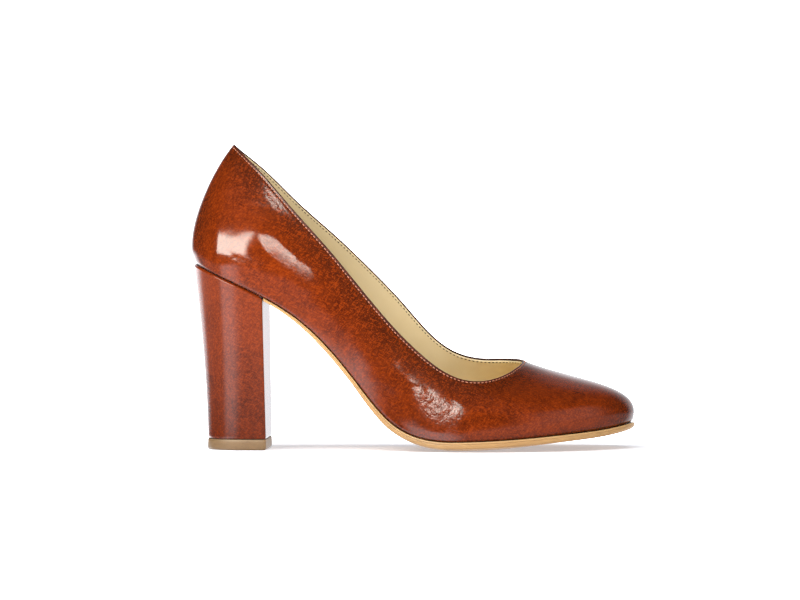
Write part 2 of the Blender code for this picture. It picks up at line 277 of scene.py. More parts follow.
def bottom_height(x, y):
    """Underside of the lasted upper: the side profile, with the middle of the tread sunk below its edges."""
    run, height = along_lateral[:, 0], along_lateral[:, 2]
    back_slope = (height[END_POINTS] - height[0]) / (run[END_POINTS] - run[0])
    toe_slope = (height[-1] - height[-END_POINTS]) / (run[-1] - run[-END_POINTS])
    level = np.interp(x, run, height)
    level = level + back_slope * np.minimum(x - run[0], 0) + toe_slope * np.maximum(x - run[-1], 0)
    lateral = np.interp(x, run, along_lateral[:, 1])
    medial = np.interp(x, along_medial[:, 0], along_medial[:, 1])
    share = np.clip((y - lateral) / np.maximum(medial - lateral, 1.0), 0, 1)
    crown = TREAD_CROWN * hump(x - TREAD_X, TREAD_REACH)
    return level - 4 * share * (1 - share) * crown


def on_bottom(points, lift):
    """The same places in plan, lifted off the underside of the upper by a thickness square to its slope."""
    x, y = points[..., 0], points[..., 1]
    slope = (bottom_height(x + 1, y) - bottom_height(x - 1, y)) / 2
    return np.stack([x, y, bottom_height(x, y) + lift * np.sqrt(1 + slope**2)], axis=-1)


def margin(u, inset, lift):
    """Lasting margin, turned in under the insole from the feather line."""
    return on_bottom(feather(u) - inset * outward(feather, u), lift)


def in_frame(points):
    """Millimetres from the heel's back, in metres from the middle of the shoe."""
    return (np.asarray(points) - np.array([HEEL_BACK_TO_MIDDLE, 0.0, 0.0])) * MM


WELD = 0.005 * MM        # points closer than this are one


def wrapped(name, place, **shares):
    """A flat grid laid onto the points place[column][row], welded where its edges meet and closed.

    Each of shares is a number for every point, which the piece's material can read by that name."""
    columns, rows = place.shape[0] - 1, place.shape[1] - 1
    place = in_frame(place)
    bm = bmesh.new()
    layers = {key: bm.verts.layers.float.new(key) for key in shares}
    bmesh.ops.create_grid(bm, x_segments=columns, y_segments=rows, size=1.0)
    for vert in bm.verts:
        i = round((vert.co.x + 1) / 2 * columns)
        j = round((vert.co.y + 1) / 2 * rows)
        vert.co = place[i, j]
        for key, layer in layers.items():
            vert[layer] = shares[key][i, j]
    bmesh.ops.remove_doubles(bm, verts=bm.verts, dist=WELD)
    bmesh.ops.holes_fill(bm, edges=[edge for edge in bm.edges if edge.is_boundary], sides=0)
    bmesh.ops.recalc_face_normals(bm, faces=bm.faces)
    if bm.calc_volume(signed=True) < 0:
        bmesh.ops.reverse_faces(bm, faces=bm.faces)
    return piece_from(name, bm)


def piece_from(name, bm):
    mesh = bpy.data.meshes.new(name)
    bm.to_mesh(mesh)
    bm.free()
    mesh.shade_smooth()
    piece = bpy.data.objects.new(name, mesh)
    bpy.context.scene.collection.objects.link(piece)
    return piece


def smooth_step(low, high, value):
    share = np.clip((value - low) / (high - low), 0, 1)
    return share * share * (3 - 2 * share)


def along_and_off(points, x, z, slope):
    """How far points lie along and off a mark with this middle and slope in side view."""
    turn = math.radians(slope)
    dx, dz = points[..., 0] - x, points[..., 2] - z
    return dx * math.cos(turn) + dz * math.sin(turn), dz * math.cos(turn) - dx * math.sin(turn)


def crease_depth(points, lateral):
    """How far the creases press each point in, in millimetres: a trough with a low ridge along both sides."""
    depth = np.zeros(points.shape[:-1])
    for side, x, z, slope, length, width, press, bow in CREASES:
        along, off = along_and_off(points, x, z, slope)
        off = off + bow * along**2
        trough = (1 - (off / width) ** 2) * hump(off, width)
        ends = np.exp(-((2 * along / length) ** 4))
        depth += press * trough * ends * (lateral == (side == "lateral"))
    return depth


def marked_share(marks, points, lateral):
    """How far the grain is broken at each point by the marks of a table."""
    share = np.zeros(points.shape[:-1])
    for side, x, z, slope, along_reach, off_reach, amount in marks:
        along, off = along_and_off(points, x, z, slope)
        spread = (along / along_reach) ** 2 + (off / off_reach) ** 2
        share = np.maximum(share, amount * np.exp(-(spread**2)) * (lateral == (side == "lateral")))
    return share


def waviness(points, wavelength):
    """Slow unevenness of stretched leather, from -1 to 1."""
    flat = points.reshape(-1, 3) / wavelength
    return np.array([noise.noise(Vector(p)) for p in flat]).reshape(points.shape[:-1])


UPPER_COLUMNS = 560
WALL_ROWS, EDGE_ROWS, HIDDEN_ROWS = 72, 18, 10
EDGE_BAND = 6.5          # finely divided band under the topline
TURN_END = 0.03          # height share of the wall where the turn at the feather line ends
WALL_FOOT = 0.12         # height share of the wall where its inner face ends
MARGIN_INSETS = (LASTING_MARGIN, 5.0, 2.5, TURN_UNDER)
INNER_INSETS = (2.2, 5.0, LASTING_MARGIN)
FOLD_TURNS = (25, 50, 75, 100, 125, 150, 180)
FOLD_FACING, FOLD_SLOPE = 0.8, 1.0     # places below the topline that give the fold its facing and its slope
FOLD_REACH = 0.8         # how far the look of the folded edge reaches down

# Slow unevenness of the leather, which calms down at the feather line and at the topline
BROAD_WAVE, BROAD_WAVE_LENGTH = 0.07, 13.0
FINE_WAVE, FINE_WAVE_LENGTH, FINE_WAVE_SHIFT = 0.022, 4.5, 40.0
CALM_FOOT, CALM_EDGE = 0.12, (0.5, 3.5)

# Channel that the stitches pull in, and the leather puffed up below it
CHANNEL, CHANNEL_REACH = 0.12, 0.42
PUFF, PUFF_DOWN, PUFF_REACH = 0.03, 2.6, 0.8

# How dark the leather is burnished along the topline; how dark painted shade makes it where the heel's back
# and the toe's tip turn away from the light, the toe's tip together with burnishing, and in the crevice at
# the feather line; how dark it is on the folded edge and out of sight; and how much painted light from the
# floor makes it lighter low on the wall
TOPLINE_BURNISH, TOPLINE_BURNISH_DOWN = 1.1, 11.5
BACK_PAINTED_SHADE, BACK_PAINTED_SHADE_X = 0.65, (16.0, 3.0)
TOE_BURNISH_AND_SHADE, TOE_BURNISH_AND_SHADE_X = 0.9, (194.0, 211.0)
FEATHER_PAINTED_SHADE, FEATHER_PAINTED_SHADE_UP = 0.6, 0.03
UNDER_DARKENING, FOLD_DARKENING, INNER_DARKENING = 0.6, 0.95, 0.9
LOW_PAINTED_LIGHT, LOW_PAINTED_LIGHT_UP = 0.30, 0.30

around = np.linspace(0, AROUND, UPPER_COLUMNS + 1)
rings = []
# Marks kept on each ring; the burnishing mark also carries painted shade and painted light from the floor
ring_marks = {"burnish": [], "seam": [], "wrinkle": [], "pleat": [], "fold": []}


def add_ring(points, **shares):
    """One more ring round the upper, with its share of each mark, or none."""
    rings.append(points)
    for name, rows in ring_marks.items():
        rows.append(np.broadcast_to(shares.get(name, 0.0), around.shape))


def burnish_on_wall(points, level, depth_below):
    """Burnishing and painted shade from 0 to 1, or below 0 where painted light from the floor makes the
    leather lighter.
    """
    x = points[..., 0]
    burnish = TOPLINE_BURNISH * np.exp(-depth_below / TOPLINE_BURNISH_DOWN)
    # painted shade: darker where the back of the heel turns away from the light
    burnish += BACK_PAINTED_SHADE * smooth_step(*BACK_PAINTED_SHADE_X, x)
    # darker at the toe's tip: partly burnishing, partly painted shade where the tip turns away from the light
    burnish += TOE_BURNISH_AND_SHADE * smooth_step(*TOE_BURNISH_AND_SHADE_X, x)
    # painted shade in the crevice where the upper meets the sole
    burnish += FEATHER_PAINTED_SHADE * np.exp(-level / FEATHER_PAINTED_SHADE_UP)
    # lighter low on the wall: painted light from the pale floor
    return np.clip(burnish - LOW_PAINTED_LIGHT * hump(level, LOW_PAINTED_LIGHT_UP), -1, 1)


# Lasting margin under the foot, then the turn at the feather line
for inset in MARGIN_INSETS:
    add_ring(margin(around, inset, 0.0), burnish=UNDER_DARKENING)
corner = margin(around, 0.0, 0.0)
turn_top = wall(around, np.full_like(around, TURN_END))
turn_low = margin(around, TURN_UNDER, 0.0)
for t in (0.25, 0.5, 0.75):
    add_ring((1 - t) ** 2 * turn_low + 2 * t * (1 - t) * corner + t * t * turn_top, burnish=UNDER_DARKENING)

# Outer face: creases, slow waves and the channel pulled in by the stitch row
band_start = below_topline(around, EDGE_BAND)
rim_start = below_topline(around, FOLD)
lateral_half = around < ROWS
for k in range(WALL_ROWS + EDGE_ROWS + 1):
    if k < WALL_ROWS:
        level = TURN_END + (band_start - TURN_END) * k / WALL_ROWS
    else:
        level = band_start + (rim_start - band_start) * (k - WALL_ROWS) / EDGE_ROWS
    points = wall(around, level)
    depth_below = (1 - level) / (1 - band_start) * EDGE_BAND
    rise = -crease_depth(points, lateral_half)
    rise += BROAD_WAVE * waviness(points, BROAD_WAVE_LENGTH)
    rise += FINE_WAVE * waviness(points + FINE_WAVE_SHIFT, FINE_WAVE_LENGTH)
    rise *= smooth_step(0.0, CALM_FOOT, level) * smooth_step(*CALM_EDGE, depth_below)
    seam = hump(depth_below - STITCH_DOWN, CHANNEL_REACH)
    rise += PUFF * hump(depth_below - PUFF_DOWN, PUFF_REACH) - CHANNEL * seam
    add_ring(
        points + rise[..., None] * wall_normal(around, level),
        burnish=burnish_on_wall(points, level, depth_below),
        seam=seam,
        wrinkle=marked_share(WRINKLED, points, lateral_half),
        pleat=marked_share(PLEATED, points, lateral_half),
        fold=hump(depth_below, FOLD_REACH),
    )

# Edge folded in over the lining, then the hidden inner face and the margin again
rim_out = wall_normal(around, below_topline(around, FOLD_FACING))
rim_up = unit(wall(around, np.ones_like(around)) - wall(around, below_topline(around, FOLD_SLOPE)))
rim_middle = wall(around, rim_start) - FOLD * rim_out
for turn in np.radians(FOLD_TURNS):
    bend = math.cos(turn) * rim_out + math.sin(turn) * rim_up
    add_ring(rim_middle + FOLD * bend, burnish=FOLD_DARKENING, fold=1.0)
for v in np.linspace(0.0, 1.0, HIDDEN_ROWS + 1)[1:]:
    level = rim_start + (WALL_FOOT - rim_start) * v
    add_ring(wall(around, level) - 2 * FOLD * wall_normal(around, level), burnish=FOLD_DARKENING)
for inset in INNER_INSETS:
    add_ring(margin(around, inset, LEATHER), burnish=INNER_DARKENING)
add_ring(rings[0], burnish=UNDER_DARKENING)

upper_marks = {name: np.stack(rows, axis=1) for name, rows in ring_marks.items()}
upper_leather = wrapped("upper_leather", np.stack(rings, axis=1), **upper_marks)


class Wire:
    """A socket of a material's node tree: sums on it add Math nodes, and node() adds any other."""

    def __init__(self, tree, socket=None):
        self.tree = tree
        self.socket = socket

    def node(self, kind, settings, inputs, output=0):
        made = self.tree.nodes.new(kind)
        for name, value in settings.items():
            setattr(made, name, value)
        for name, value in inputs.items():
            if isinstance(value, Wire):
                self.tree.links.new(value.socket, made.inputs[name])
            else:
                made.inputs[name].default_value = value
        return Wire(self.tree, made.outputs[output])

    def math(self, operation, *values):
        return self.node("ShaderNodeMath", {"operation": operation}, dict(enumerate(values)))

    def __add__(self, other):
        return self.math("ADD", self, other)

    __radd__ = __add__

    def __mul__(self, other):
        return self.math("MULTIPLY", self, other)

    __rmul__ = __mul__

    def __sub__(self, other):
        return self.math("SUBTRACT", self, other)

    def __rsub__(self, other):
        return self.math("SUBTRACT", other, self)

    def to(self, shader, name):
        self.tree.links.new(self.socket, shader.inputs[name])


def new_finish(name):
    """A new material, its main shader, and a wire with the place on the piece."""
    material = bpy.data.materials.new(name)
    material.use_nodes = True
    tree = material.node_tree
    place = Wire(tree).node("ShaderNodeTexCoord", {}, {}, "Object")
    return material, tree.nodes["Principled BSDF"], place


def run_along(place, axis):
    """The place's run along one axis, in metres."""
    return place.node("ShaderNodeSeparateXYZ", {}, {0: place}, axis)


def stretched(place, x, y, z):
    """The place scaled, so that marks are drawn out along an axis with a scale below 1."""
    return place.node("ShaderNodeMapping", {}, {"Vector": place, "Scale": (x, y, z)})


def slanted(place, slope, drawn_out):
    """The place turned in side view and drawn out, for marks that run at this slope in degrees."""
    turn = (0.0, math.radians(slope), 0.0)
    turned = place.node("ShaderNodeMapping", {}, {"Vector": place, "Rotation": turn})
    return stretched(turned, 1 / drawn_out, 1.0, 1.0)


def clouds(place, size_mm, detail=3.0, rough=0.55):
    """Noise from 0 to 1 with patches about this many millimetres across."""
    inputs = {"Vector": place, "Scale": 1 / (size_mm * MM), "Detail": detail, "Roughness": rough}
    return place.node("ShaderNodeTexNoise", {}, inputs)


def cells(place, size_mm, feature="F1"):
    """Distance to the nearest of scattered points, as in the pebbles and pores of leather."""
    inputs = {"Vector": place, "Scale": 1 / (size_mm * MM)}
    return place.node("ShaderNodeTexVoronoi", {"feature": feature}, inputs, "Distance")


def kept(place, name):
    """A number that the piece's mesh keeps at each point."""
    return place.node("ShaderNodeAttribute", {"attribute_name": name}, {}, "Fac")


def ramp(value, low, high):
    """Smooth rise from 0 to 1 between two values."""
    settings = {"interpolation_type": "SMOOTHSTEP"}
    return value.node("ShaderNodeMapRange", settings, {"Value": value, "From Min": low, "From Max": high})


def blended(share, first, second):
    """Second colour laid over the first by a share from 0 to 1."""
    first = first if isinstance(first, Wire) else (*first, 1.0)
    second = second if isinstance(second, Wire) else (*second, 1.0)
    return share.node("ShaderNodeMix", {"data_type": "RGBA"}, {0: share, 6: first, 7: second}, 2)


def bump(height):
    """Surface relief from a height in millimetres."""
    return height.node("ShaderNodeBump", {}, {"Height": height, "Distance": MM, "Strength": 1.0})


BROWN = (0.064, 0.0072, 0.0008)
ORANGE_BROWN = (0.142, 0.0175, 0.0013)
BURNT_BROWN = (0.026, 0.0048, 0.0012)
LINE_BROWN = (0.012, 0.0035, 0.0018)
AMBER = (0.24, 0.0330, 0.0026)

# Sizes of the marks in the leather's grain, and how far each of them takes the colour over
PATCH, STREAK, SPECK, FINE_GRAIN, FIBRE, PORE = 15.0, 4.5, 0.6, 0.40, 0.55, 1.0
FIBRE_SLOPES, FIBRE_LONG = (52.0, -24.0), 4.0
BURNT_AND_SHADED_SHARE, RUBBED_AND_LIT_SHARE, SPECK_SHARE, FINE_SHARE = 0.85, 0.7, 0.26, 0.30
PALE_FIBRE_SHARE, DARK_FIBRE_SHARE = 0.55, 0.28

# Relief of the grain in millimetres, and the clear wax on top
FINE_RELIEF, SPECK_RELIEF, PORE_RELIEF, STREAK_RELIEF = 0.008, 0.010, 0.006, 0.020
DULL_ROUGH = 0.35        # roughness added where the gloss is lost
LEATHER_IOR, WAX, WAX_ROUGH = 1.38, 0.10, 0.14


def leather_finish(name, polish, burnish_share, extra_height=None, dark_share=None, dull_share=None):
    """Polished brown leather: cloudy dye with streaks of fibre, darker where it is burnished and where shade
    is painted, lighter where it is rubbed and where light is painted, fine pores under a clear wax. The
    polish is the roughness that is left.

    The shares and the extra height are functions of the place that say what a piece adds to it."""
    material, shader, place = new_finish(name)
    patches = clouds(place, PATCH, 4.0, 0.62)
    streaks = clouds(stretched(place, 1.0, 1.0, 0.5), STREAK, 5.0, 0.68)
    specks = clouds(stretched(place, 1.0, 1.0, 0.7), SPECK, 2.0, 0.6)
    fine = clouds(place, FINE_GRAIN, 1.0, 0.5)
    rising, falling = (clouds(slanted(place, slope, FIBRE_LONG), FIBRE, 2.0) for slope in FIBRE_SLOPES)
    fibres = 0.5 * (rising + falling)
    pores = cells(place, PORE)
    colour = blended(ramp(0.5 * patches + 0.5 * streaks, 0.32, 0.64), BROWN, ORANGE_BROWN)
    shade = burnish_share(place)
    # darker where the burnishing share is high, which on the upper includes painted shade
    burnt_and_shaded = ramp(shade + 0.20 * (patches - 0.5) + 0.22 * (streaks - 0.5), 0.04, 0.85)
    colour = blended(burnt_and_shaded * BURNT_AND_SHADED_SHARE, colour, BURNT_BROWN)
    # lighter where the share is below 0: painted light from the floor low on the upper's wall, and the heel's
    # lighter tone
    colour = blended(ramp(0.0 - shade, 0.0, 0.5) * RUBBED_AND_LIT_SHARE, colour, AMBER)
    colour = blended(ramp(specks, 0.40, 0.62) * SPECK_SHARE, colour, BURNT_BROWN)
    colour = blended(ramp(fibres, 0.50, 0.60) * PALE_FIBRE_SHARE, colour, AMBER)
    colour = blended(ramp(fine, 0.48, 0.64) * FINE_SHARE, colour, AMBER)
    colour = blended((1 - ramp(fibres, 0.40, 0.50)) * DARK_FIBRE_SHARE, colour, BURNT_BROWN)
    if dark_share:
        colour = blended(dark_share(place), colour, LINE_BROWN)
    colour.to(shader, "Base Color")
    rough = polish + 0.04 * (streaks - 0.5) + 0.05 * (specks - 0.5) + 0.04 * burnt_and_shaded
    if dull_share:
        rough = rough + DULL_ROUGH * dull_share(place)
    rough.to(shader, "Roughness")
    height = FINE_RELIEF * fine + SPECK_RELIEF * specks + PORE_RELIEF * pores + STREAK_RELIEF * streaks
    if extra_height:
        height = height + extra_height(place)
    bump(height).to(shader, "Normal")
    shader.inputs["IOR"].default_value = LEATHER_IOR
    shader.inputs["Coat Weight"].default_value = WAX
    shader.inputs["Coat Roughness"].default_value = WAX_ROUGH
    return material


def dress(piece, material, slot, *nodes):
    """Gives a piece its finish, lets it ride on the shoe, and hides the imported solids that it stands in
    for.
    """
    piece.data.materials.append(material)
    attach(piece, "root")
    if nodes:
        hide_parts(*nodes)


UPPER_POLISH = 0.09
BACK_SEAM_Y = 2.0 * MM   # the seam that closes the quarters runs down the middle of the back
BACK_SEAM_END, BACK_SEAM_FADE = -86.0 * MM, 4.0 * MM
BACK_SEAM_CORE, BACK_SEAM_EDGE = 0.1 * MM, 0.5 * MM
BACK_SEAM_DEPTH = 0.12
PLEAT, PLEAT_DEPTH = 0.42, 0.11        # spacing and depth of the pleats
PLEAT_RISE, PLEAT_DRIFT = 0.9, 0.6     # share of a pleat that faces the heel, and how far pleats wander
PLEAT_BROKEN = 0.30      # share of their depth that comes and goes

# Fine wrinkles: sizes and heights of their broad pebbles, fine pebbles and soft swells
BROAD_PEBBLE, FINE_PEBBLE, SOFT_SWELL = 1.9, 1.0, 1.4
BROAD_PEBBLE_HIGH, FINE_PEBBLE_HIGH, SOFT_SWELL_HIGH = 0.18, 0.08, 0.06

# How far the seam, the folded edge and the wrinkles darken or dull the leather
SEAM_DARK, FOLD_DARK, BACK_SEAM_DARK = 0.62, 0.45, 0.6
WRINKLE_DULL, SEAM_DULL = 0.45, 0.4


def back_seam(place):
    """Share of the closed seam at the back of the heel."""
    off = place.math("ABSOLUTE", run_along(place, "Y") - BACK_SEAM_Y)
    at_back = 1 - ramp(run_along(place, "X"), BACK_SEAM_END, BACK_SEAM_END + BACK_SEAM_FADE)
    return (1 - ramp(off, BACK_SEAM_CORE, BACK_SEAM_EDGE)) * at_back


def upper_wrinkles(place):
    """Fine wrinkles at the ball, pleats in front of the heel stiffener, and the back seam's channel."""
    folds = BROAD_PEBBLE_HIGH * cells(place, BROAD_PEBBLE, "SMOOTH_F1")
    folds = folds + FINE_PEBBLE_HIGH * cells(place, FINE_PEBBLE) + SOFT_SWELL_HIGH * clouds(place, SOFT_SWELL)
    drift = PLEAT_DRIFT * clouds(stretched(place, 1.0, 1.0, 0.3), 1.2)
    turn = place.math("FRACT", run_along(place, "X") * (1 / (PLEAT * MM)) + drift)
    pleat = place.math("MINIMUM", turn * (1 / PLEAT_RISE), (1 - turn) * (1 / (1 - PLEAT_RISE)))
    broken = 1 - PLEAT_BROKEN + PLEAT_BROKEN * ramp(clouds(place, 0.8), 0.35, 0.55)
    height = kept(place, "wrinkle") * folds + PLEAT_DEPTH * kept(place, "pleat") * broken * pleat
    return height - BACK_SEAM_DEPTH * back_seam(place)


def upper_dark_lines(place):
    """Share of the dark lines along the stitch row, the folded edge and the back seam."""
    lines = SEAM_DARK * kept(place, "seam") + FOLD_DARK * kept(place, "fold")
    return lines + BACK_SEAM_DARK * back_seam(place)


def upper_dull(place):
    """Share of the gloss that is lost on the folded edge, in the wrinkles and along the stitch row."""
    return kept(place, "fold") + WRINKLE_DULL * kept(place, "wrinkle") + SEAM_DULL * kept(place, "seam")


# burnishing of the upper, with its painted shade and painted light
def upper_burnish(place):
    return kept(place, "burnish")


upper_finish = leather_finish(
    "polished_leather", UPPER_POLISH, upper_burnish, upper_wrinkles, upper_dark_lines, upper_dull
)
dress(upper_leather, upper_finish, "upper", "upper")


# Lining
# Soft beige leather, cemented inside the upper from just under the folded edge down to the insole,
# with its lower edge lasted in together with the upper.

LINING_DROP = 0.80       # raw edge of the lining below the topline
LINED_WALL = 1.8         # leather and lining together
LINING_COLUMNS, LINING_ROWS, BACK_ROWS = 336, 40, 6
CEMENT, MARGIN_CEMENT = 0.05, 0.12     # between leather and lining, on the wall and on the margin
EDGE_RISE, EDGE_ROUND = 0.18, 0.2      # how the raw edge is rounded
HIGHEST_FACING = 0.985   # height share above which the wall's facing stays the same
BROAD_RIPPLE, BROAD_RIPPLE_LENGTH, BROAD_RIPPLE_SHIFT = 0.10, 16.0, 11.0
FINE_RIPPLE, FINE_RIPPLE_LENGTH, FINE_RIPPLE_SHIFT = 0.03, 5.0, 90.0
CALM_ENDS = 0.1          # share of the lining over which the ripples fade at its edge and at its foot
LINING_INSETS, LINING_UNDER_INSETS = (3.1, 5.4, LASTING_MARGIN), (LASTING_MARGIN, 5.0, 2.4)

around_lining = np.linspace(0, AROUND, LINING_COLUMNS + 1)
lining_top = below_topline(around_lining, LINING_DROP)


def inside(level, depth):
    """A ring this deep inside the outer face; a ring of depths may be given."""
    facing = wall_normal(around_lining, np.minimum(level, HIGHEST_FACING))
    return wall(around_lining, level) - np.asarray(depth)[..., None] * facing


# Cemented face from the foot up, the raw edge, then the face that shows and the margin
lining_rings = []
for t in np.linspace(0.0, 1.0, BACK_ROWS + 1):
    lining_rings.append(inside(WALL_FOOT + (lining_top - WALL_FOOT) * t, 2 * FOLD + CEMENT))
edge_top = below_topline(around_lining, LINING_DROP - EDGE_RISE)
lining_rings.append(inside(edge_top, 2 * FOLD + EDGE_ROUND))
lining_rings.append(inside(edge_top, LINED_WALL - EDGE_ROUND))
for t in np.linspace(0.0, 1.0, LINING_ROWS + 1):
    level = lining_top + (WALL_FOOT - lining_top) * t
    points = inside(level, LINED_WALL)
    ripple = BROAD_RIPPLE * waviness(points + BROAD_RIPPLE_SHIFT, BROAD_RIPPLE_LENGTH)
    ripple += FINE_RIPPLE * waviness(points + FINE_RIPPLE_SHIFT, FINE_RIPPLE_LENGTH)
    ripple *= smooth_step(0.0, CALM_ENDS, t) * smooth_step(1.0, 1.0 - CALM_ENDS, t)
    lining_rings.append(inside(level, LINED_WALL - ripple))
for inset in LINING_INSETS:
    lining_rings.append(margin(around_lining, inset, LINED_WALL))
for inset in LINING_UNDER_INSETS:
    lining_rings.append(margin(around_lining, inset, LEATHER + MARGIN_CEMENT))
lining_rings.append(lining_rings[0])
lining = wrapped("lining", np.stack(lining_rings, axis=1))

BEIGE = (0.88, 0.715, 0.42)
BEIGE_SHADE = (0.82, 0.64, 0.35)
BEIGE_PAINTED_SHADE = (0.50, 0.390, 0.215)
PAINTED_SHADE_FROM, PAINTED_SHADE_TO = -50.0 * MM, 45.0 * MM     # along the shoe, the painted shade darkest behind the first
BEIGE_PATCH, BEIGE_GRAIN, BEIGE_PORE = 14.0, 0.5, 0.8
BEIGE_ROUGH, BEIGE_SHEEN = 0.46, 0.3


def beige_finish(name):
    """Unglazed lining leather: beige with faint clouds and fine pores, darker towards the heel as painted
    shade.
    """
    material, shader, place = new_finish(name)
    patches = clouds(place, BEIGE_PATCH, 4.0)
    pores = cells(place, BEIGE_PORE)
    grain = clouds(place, BEIGE_GRAIN, 3.0)
    colour = blended(ramp(patches, 0.3, 0.75), BEIGE, BEIGE_SHADE)
    colour = blended(ramp(grain, 0.5, 0.8) * 0.25, colour, BEIGE_SHADE)
    # painted shade: darker towards the heel, lighter towards the throat
    colour = blended(1 - ramp(run_along(place, "X"), PAINTED_SHADE_FROM, PAINTED_SHADE_TO), colour, BEIGE_PAINTED_SHADE)
    colour.to(shader, "Base Color")
    (BEIGE_ROUGH + 0.12 * (patches - 0.5) + 0.1 * (grain - 0.5)).to(shader, "Roughness")
    bump(0.015 * grain + 0.010 * pores).to(shader, "Normal")
    shader.inputs["Specular IOR Level"].default_value = BEIGE_SHEEN
    return material


lining_finish = beige_finish("lining_leather")
dress(lining, lining_finish, "insole")


# Topline stitching
# One row of machine stitches through leather and lining, a little below the folded edge, all round
# the opening: reddish thread on the outside, and its dark underside sunk into the lining.

STITCH_PITCH = 1.95
STITCH_LENGTH, LINING_STITCH_LENGTH = 1.30, 1.15
THREAD = 0.46            # thickness of the thread
THREAD_PROUD = 0.02      # how far the middle of a stitch stands off the leather or the lining
SEAM_POINTS = 4000
STITCH_FACES = 6         # faces round a stitch and along it


def stitch_row(name, depth, length):
    """A row of short capsules along the seam, each with its middle this deep below the outer face."""
    u = np.linspace(0, AROUND, SEAM_POINTS + 1)
    level = below_topline(u, STITCH_DOWN)
    normal = wall_normal(u, level)
    line = wall(u, level) - depth * normal
    run = np.concatenate([[0.0], np.cumsum(np.linalg.norm(np.diff(line, axis=0), axis=1))])
    count = round(run[-1] / STITCH_PITCH)
    bm = bmesh.new()
    for k in range(count):
        at = np.searchsorted(run, (k + 0.5) / count * run[-1])
        along = unit(line[at + 1] - line[at - 1])
        out = normal[at]
        side = np.cross(out, along)
        turn = Matrix((side, out, along)).transposed().to_4x4()
        size = Matrix.Diagonal((THREAD / 2 * MM, THREAD / 2 * MM, length / 2 * MM, 1.0))
        put = Matrix.Translation(in_frame(line[at])) @ turn @ size
        faces = {"u_segments": STITCH_FACES, "v_segments": STITCH_FACES}
        bmesh.ops.create_uvsphere(bm, **faces, radius=1.0, matrix=put)
    return piece_from(name, bm)


THREAD_RED, THREAD_RED_SHADE = (0.58, 0.22, 0.12), (0.22, 0.055, 0.022)
THREAD_DARK, THREAD_DARK_SHADE = (0.035, 0.016, 0.008), (0.015, 0.007, 0.004)
PLY_SCALE, PLY_RELIEF = 900.0, 0.018


def thread_finish(name, colour, shade):
    """Twisted sewing thread: fine slanted plies, matt with a little sheen."""
    material, shader, place = new_finish(name)
    inputs = {"Vector": place, "Scale": PLY_SCALE, "Distortion": 2.0}
    plies = place.node("ShaderNodeTexWave", {"bands_direction": "DIAGONAL"}, inputs, "Fac")
    blended(plies * 0.6, colour, shade).to(shader, "Base Color")
    (0.62 - 0.15 * plies).to(shader, "Roughness")
    bump(PLY_RELIEF * plies).to(shader, "Normal")
    return material


topline_stitches = stitch_row("topline_stitches", -THREAD_PROUD, STITCH_LENGTH)
dress(topline_stitches, thread_finish("topline_thread", THREAD_RED, THREAD_RED_SHADE), "upper")
lining_stitches = stitch_row("lining_stitches", LINED_WALL + THREAD_PROUD, LINING_STITCH_LENGTH)
dress(lining_stitches, thread_finish("lining_thread", THREAD_DARK, THREAD_DARK_SHADE), "upper")


# Sock
# Beige sock over the insole board, cemented down on the turned-in margin inside the upper, with a softly
# rounded edge and a slight cushion.

BOARD_INSET = 3.6        # edge of the board in from the feather line
BOARD_BASE, BOARD_THICK = 2.1, 2.2
SOCK_STATIONS, SOCK_ACROSS = 160, 24
SOCK_ROUND = 0.5         # how far the top lies in from the edge
SOCK_EDGE, SOCK_CUSHION = 0.94, 0.24   # height of the top at its edge and the cushion's rise, as shares


def edge_of_bottom(row, side, reach_out):
    station = np.asarray(row if side == "lateral" else AROUND - row, float)
    return feather(station) + np.asarray(reach_out)[..., None] * outward(feather, station)


def across(row, reach_out, share, lift):
    """Points across the bottom: share runs from the lateral edge (0) to the medial edge (1)."""
    lateral = edge_of_bottom(row, "lateral", reach_out)
    medial = edge_of_bottom(row, "medial", reach_out)
    return on_bottom(lateral + np.asarray(share)[..., None] * (medial - lateral), lift)


# One section of the sock: share across, inset from the board's edge, height as a share of its thickness
sock_shares = np.linspace(0, 1, SOCK_ACROSS + 1)
sock_section = [(t, 0.0, 0.0) for t in sock_shares]
sock_section += [(1.0, 0.0, 0.35), (1.0, 0.0, 0.7)]
sock_section += [(t, SOCK_ROUND, SOCK_EDGE + SOCK_CUSHION * t * (1 - t)) for t in sock_shares[::-1]]
sock_section += [(0.0, 0.0, 0.7), (0.0, 0.0, 0.35), (0.0, 0.0, 0.0)]
sock_share, sock_inset, sock_height = np.array(sock_section).T
sock_rows = np.linspace(0, ROWS, SOCK_STATIONS + 1)[:, None]
sock_lift = BOARD_BASE + BOARD_THICK * sock_height
sock_place = across(sock_rows, -BOARD_INSET - sock_inset, sock_share, sock_lift)
sock = wrapped("sock", sock_place)
dress(sock, beige_finish("sock_leather"), "insole", "insole")


# Sole
# Thin natural leather sole from the heel's breast to the toe, cemented under the margin. Its edge is trimmed
# round, rounder at the toe, with a fine scored line below the lip that runs out there. A painted highlight
# runs along the lip, and painted shade lies in the scored line and on the lower edge.

GLUE_GAP = 0.3
SOLE_EDGE, SOLE_EDGE_WAIST = 1.2, 0.4  # how far the edge stands out at the forepart and at the waist
SOLE_ROUND, TREAD_INSET = 0.9, 1.4     # how far the upper face and the tread lie in from the widest line
TOE_ROUND = 2.2          # how much rounder the lower edge is at the tip of the toe
BREAST_ROW = 3.36        # the heel's breast, in sections from the heel back
BREAST_SECTION = 16.0    # millimetres from one section to the next there
# Sections over which the edge widens, the scored line runs out, and the toe rounds
WIDEN_ROWS, SCORE_ROWS, TOE_ROWS = (5.0, 9.0), (12.6, 10.0), (12.6, 14.0)
SOLE_STATIONS, SOLE_ACROSS = 260, 28

